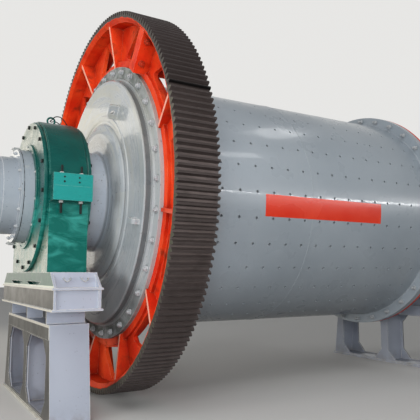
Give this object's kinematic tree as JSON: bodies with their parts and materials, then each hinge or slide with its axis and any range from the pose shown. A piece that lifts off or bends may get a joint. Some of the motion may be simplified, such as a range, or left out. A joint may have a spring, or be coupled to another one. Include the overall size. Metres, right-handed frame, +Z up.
{
  "type": "ball mill",
  "caption": "Ball mill with a flanged drilled shell, bolted heads with hollow trunnions, split spur girth gear and trunnion bearings on pedestals.",
  "frame": {"origin": "on the floor under the middle of the shell", "axes": "+X along the mill's axis from the girth gear to the feed end, +Z up"},
  "size_m": [7.56, 4.896, 4.9479],
  "materials": {
    "shell_paint": "semi-gloss",
    "head_steel": "satin",
    "spout_steel": "satin",
    "gear_steel": "oiled",
    "gear_paint": "semi-gloss",
    "bush_metal": "satin",
    "housing_paint": "semi-gloss",
    "support_paint": "gloss"
  },
  "bodies": {
    "stand": {"pedestal_drive": "support_paint", "riser_drive": "support_paint", "saddle_beam_drive": "support_paint", "sole_block_drive": "support_paint", "bearing_seat_drive": "housing_paint", "bearing_cap_drive": "housing_paint", "bearing_bush_drive": "bush_metal", "end_cover_drive_outer": "housing_paint", "end_cover_drive_inner": "housing_paint", "lifting_eye_drive": "housing_paint", "pedestal_feed": "support_paint", "riser_feed": "support_paint", "saddle_beam_feed": "support_paint", "sole_block_feed": "support_paint", "bearing_seat_feed": "housing_paint", "bearing_cap_feed": "housing_paint", "bearing_bush_feed": "bush_metal", "end_cover_feed_outer": "housing_paint", "end_cover_feed_inner": "housing_paint", "lifting_eye_feed": "housing_paint"},
    "drum": {"shell_drive_course": "shell_paint", "shell_feed_course": "shell_paint", "shell_flange_drive": "shell_paint", "shell_flange_feed": "shell_paint", "head_drive": "head_steel", "head_feed": "head_steel", "spout_drive": "spout_steel", "spout_feed": "spout_steel", "gear_rim_upper": "gear_steel", "gear_rim_lower": "gear_steel", "gear_web_upper": "gear_paint", "gear_web_lower": "gear_paint"}
  },
  "joints": [
    {"name": "drum_spin", "type": "hinge", "parent": "stand", "child": "drum", "pos_m": [0, 0, 2.5], "axis": [1, 0, 0], "continuous": true}
  ]
}
